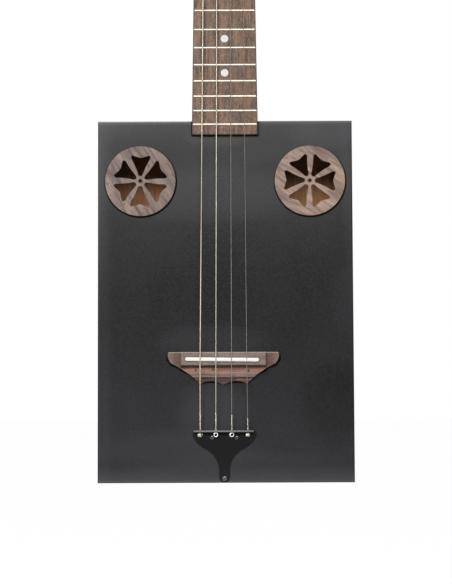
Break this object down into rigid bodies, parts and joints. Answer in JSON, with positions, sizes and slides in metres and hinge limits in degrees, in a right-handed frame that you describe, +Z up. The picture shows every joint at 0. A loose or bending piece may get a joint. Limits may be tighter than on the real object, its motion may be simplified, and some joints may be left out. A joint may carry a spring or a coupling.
{
  "type": "cigar box guitar",
  "caption": "Fretted string instrument with a flat black rectangular wooden body, rosette sound holes, a carved bridge, a plate tailpiece and geared tuning machines.",
  "frame": {"origin": "middle of the flat bottom end of the box, which the guitar stands on", "axes": "+Z up along the neck towards the head, -Y out of the front with the strings, +X to the right of someone facing the strings"},
  "size_m": [0.22, 0.0756, 0.8801],
  "materials": {
    "black_paint": "satin black paint on wood",
    "plywood": "bare plywood",
    "walnut": "open-grained walnut, oiled",
    "dark_walnut": "walnut fretboard, satin",
    "neck_wood": "satin varnish",
    "bone": "polished bone white",
    "steel_wire": "plain steel wire",
    "bronze_wire": "round-wound bronze",
    "bar_steel": "mill finish",
    "nickel": "nickel plate",
    "black_steel": "semi-gloss black",
    "cream_plastic": "polished"
  },
  "bodies": {
    "root": {"top_plate": "black_paint", "back_plate": "black_paint", "side_left": "black_paint", "side_right": "black_paint", "end_top": "black_paint", "end_bottom": "black_paint", "tail_block": "plywood", "bridge_plate": "plywood", "back_brace_lower": "plywood", "back_brace_upper": "plywood", "soundhole_disc_left": "walnut", "soundhole_disc_right": "walnut", "bridge": "walnut", "fretboard": "dark_walnut", "neck": "neck_wood", "saddle": "bone", "nut": "bone", "string_3": "steel_wire", "string_4": "steel_wire", "string_1": "bronze_wire", "string_2": "bronze_wire", "neck_bar": "bar_steel", "tailpiece_screw": "nickel", "fret_01": "nickel", "fret_02": "nickel", "fret_03": "nickel", "fret_04": "nickel", "fret_05": "nickel", "fret_06": "nickel", "fret_07": "nickel", "fret_08": "nickel", "fret_09": "nickel", "fret_10": "nickel", "fret_11": "nickel", "fret_12": "nickel", "fret_13": "nickel", "fret_14": "nickel", "fret_15": "nickel", "fret_16": "nickel", "fret_17": "nickel", "fret_18": "nickel", "fret_19": "nickel", "fret_20": "nickel", "tuner_plate_1": "nickel", "tuner_bushing_1": "nickel", "tuner_plate_2": "nickel", "tuner_bushing_2": "nickel", "tuner_plate_3": "nickel", "tuner_bushing_3": "nickel", "tuner_plate_4": "nickel", "tuner_bushing_4": "nickel", "tailpiece": "black_steel"},
    "button_1": {"tuner_button_1": "cream_plastic"},
    "post_1": {"tuner_post_1": "nickel"},
    "button_2": {"tuner_button_2": "cream_plastic"},
    "post_2": {"tuner_post_2": "nickel"},
    "button_3": {"tuner_button_3": "cream_plastic"},
    "post_3": {"tuner_post_3": "nickel"},
    "button_4": {"tuner_button_4": "cream_plastic"},
    "post_4": {"tuner_post_4": "nickel"}
  },
  "joints": [
    {"name": "button_1_turn", "type": "hinge", "parent": "root", "child": "button_1", "pos_m": [-0.021, -0.0099, 0.779], "axis": [-1, 0, 0], "continuous": true},
    {"name": "post_1_turn", "type": "hinge", "parent": "root", "child": "post_1", "pos_m": [-0.021, -0.0099, 0.7881], "axis": [0, -1, 0], "continuous": true},
    {"name": "button_2_turn", "type": "hinge", "parent": "root", "child": "button_2", "pos_m": [-0.021, -0.0099, 0.825], "axis": [-1, 0, 0], "continuous": true},
    {"name": "post_2_turn", "type": "hinge", "parent": "root", "child": "post_2", "pos_m": [-0.021, -0.0099, 0.8341], "axis": [0, -1, 0], "continuous": true},
    {"name": "button_3_turn", "type": "hinge", "parent": "root", "child": "button_3", "pos_m": [0.021, -0.0099, 0.825], "axis": [1, 0, 0], "continuous": true},
    {"name": "post_3_turn", "type": "hinge", "parent": "root", "child": "post_3", "pos_m": [0.021, -0.0099, 0.8341], "axis": [0, -1, 0], "continuous": true},
    {"name": "button_4_turn", "type": "hinge", "parent": "root", "child": "button_4", "pos_m": [0.021, -0.0099, 0.779], "axis": [1, 0, 0], "continuous": true},
    {"name": "post_4_turn", "type": "hinge", "parent": "root", "child": "post_4", "pos_m": [0.021, -0.0099, 0.7881], "axis": [0, -1, 0], "continuous": true}
  ],
  "couplings": [
    {"joint": "post_1_turn", "follows": "button_1_turn", "ratio": 0.066667},
    {"joint": "post_2_turn", "follows": "button_2_turn", "ratio": 0.066667},
    {"joint": "post_3_turn", "follows": "button_3_turn", "ratio": -0.066667},
    {"joint": "post_4_turn", "follows": "button_4_turn", "ratio": -0.066667}
  ]
}
